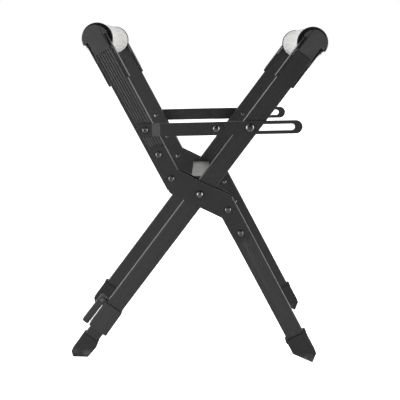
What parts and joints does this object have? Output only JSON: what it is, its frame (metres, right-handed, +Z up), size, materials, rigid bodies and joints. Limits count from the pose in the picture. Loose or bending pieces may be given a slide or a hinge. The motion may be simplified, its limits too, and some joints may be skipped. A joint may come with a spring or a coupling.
{
  "type": "folding sawhorse",
  "caption": "Folding X-frame sawhorse with ringed pale rails, cranked Z-plate legs, slotted folding stays, rubber boots and a clamped levelling leg.",
  "frame": {"origin": "on the floor, under the middle of the stand", "axes": "+X across the opening of the legs towards the top of the straight legs, +Y along the rails away from the levelling leg, +Z up"},
  "size_m": [0.5607, 0.4372, 0.7528],
  "materials": {
    "black_tube": "black satin anodised, ribbed extrusion",
    "black_steel": "black powder coat",
    "bolt": "black oxide, polished dome",
    "rubber": "matt moulded",
    "black_plastic": "satin moulded",
    "rail_sleeve": "pale grey, satin",
    "cross_tube": "pale grey satin"
  },
  "bodies": {
    "frame_b": {"axle_spacer": "black_plastic", "boot_b_far": "rubber", "clamp_pin": "bolt", "clamp_sleeve": "black_plastic", "cross_tube": "cross_tube", "cross_tube_plug": "black_plastic", "end_cap_b_far": "black_plastic", "end_cap_b_near": "black_plastic", "end_strap_b_far": "black_steel", "end_strap_b_near": "black_steel", "leg_b_far": "black_tube", "leg_b_near": "black_tube", "pivot_axle": "bolt", "pivot_nut_far": "bolt", "pivot_nut_near": "bolt", "rail_flange_b_far": "black_plastic", "rail_flange_b_near": "black_plastic", "rail_sleeve_b": "rail_sleeve", "rail_tube_b": "black_steel", "stay_pin_screw_far": "bolt", "stay_pin_screw_near": "bolt"},
    "frame_a": {"boot_a_far": "rubber", "boot_a_near": "rubber", "end_cap_a_far": "black_plastic", "end_cap_a_near": "black_plastic", "end_strap_a_far": "black_steel", "end_strap_a_near": "black_steel", "leg_a_lower_far": "black_tube", "leg_a_lower_near": "black_tube", "leg_a_upper_far": "black_tube", "leg_a_upper_near": "black_tube", "plate_bolt_far_1": "bolt", "plate_bolt_far_2": "bolt", "plate_bolt_far_3": "bolt", "plate_bolt_far_4": "bolt", "plate_bolt_near_1": "bolt", "plate_bolt_near_2": "bolt", "plate_bolt_near_3": "bolt", "plate_bolt_near_4": "bolt", "rail_flange_a_far": "black_plastic", "rail_flange_a_near": "black_plastic", "rail_sleeve_a": "rail_sleeve", "rail_tube_a": "black_steel", "z_plate_inner_far": "black_steel", "z_plate_inner_near": "black_steel", "z_plate_outer_far": "black_steel", "z_plate_outer_near": "black_steel"},
    "stay_arm_near": {"stay_arm_near": "black_steel", "stay_bolt_near": "bolt", "stay_rivet_near": "bolt"},
    "stay_slotted_near": {"stay_slotted_near": "black_steel"},
    "stay_pin_near": {"stay_pin_near": "bolt"},
    "stay_arm_far": {"stay_arm_far": "black_steel", "stay_bolt_far": "bolt", "stay_rivet_far": "bolt"},
    "stay_slotted_far": {"stay_slotted_far": "black_steel"},
    "stay_pin_far": {"stay_pin_far": "bolt"},
    "levelling_leg": {"boot_small": "rubber", "leg_extension": "black_tube"},
    "clamp_lever": {"clamp_lever": "black_plastic"}
  },
  "joints": [
    {"name": "fold", "type": "hinge", "parent": "frame_b", "child": "frame_a", "pos_m": [0.00589, 0, 0.385], "axis": [0, 1, 0], "range_deg": [0, 60]},
    {"name": "stay_swing_near", "type": "hinge", "parent": "frame_a", "child": "stay_arm_near", "pos_m": [-0.11597, 0, 0.5244], "axis": [0, 1, 0], "range_deg": [-78.1, 0.2]},
    {"name": "stay_knee_near", "type": "hinge", "parent": "stay_arm_near", "child": "stay_slotted_near", "pos_m": [0.03869, 0, 0.5309], "axis": [0, 1, 0], "range_deg": [-0.2, 161.5]},
    {"name": "stay_slide_near", "type": "slide", "parent": "stay_slotted_near", "child": "stay_pin_near", "axis": [0.9991, 0, 0.042], "range_m": [-0.0002, 0.0537]},
    {"name": "stay_swing_far", "type": "hinge", "parent": "frame_a", "child": "stay_arm_far", "pos_m": [-0.11597, 0, 0.5244], "axis": [0, 1, 0], "range_deg": [-78.1, 0.2]},
    {"name": "stay_knee_far", "type": "hinge", "parent": "stay_arm_far", "child": "stay_slotted_far", "pos_m": [0.03869, 0, 0.5309], "axis": [0, 1, 0], "range_deg": [-0.2, 161.5]},
    {"name": "stay_slide_far", "type": "slide", "parent": "stay_slotted_far", "child": "stay_pin_far", "axis": [0.9991, 0, 0.042], "range_m": [-0.0002, 0.0537]},
    {"name": "level", "type": "slide", "parent": "frame_b", "child": "levelling_leg", "axis": [-0.5807, 0, -0.8141], "range_m": [-0.022, 0.07]},
    {"name": "clamp", "type": "hinge", "parent": "frame_b", "child": "clamp_lever", "pos_m": [-0.21096, 0, 0.13678], "axis": [0, 1, 0], "range_deg": [0, 110]}
  ],
  "couplings": [
    {"joint": "stay_swing_near", "follows": "fold", "ratio": -1.2977},
    {"joint": "stay_knee_near", "follows": "fold", "ratio": 2.6883},
    {"joint": "stay_slide_near", "follows": "fold", "m_per_rad": 0.051059},
    {"joint": "stay_swing_far", "follows": "fold", "ratio": -1.2977},
    {"joint": "stay_knee_far", "follows": "fold", "ratio": 2.6883},
    {"joint": "stay_slide_far", "follows": "fold", "m_per_rad": 0.051059}
  ]
}
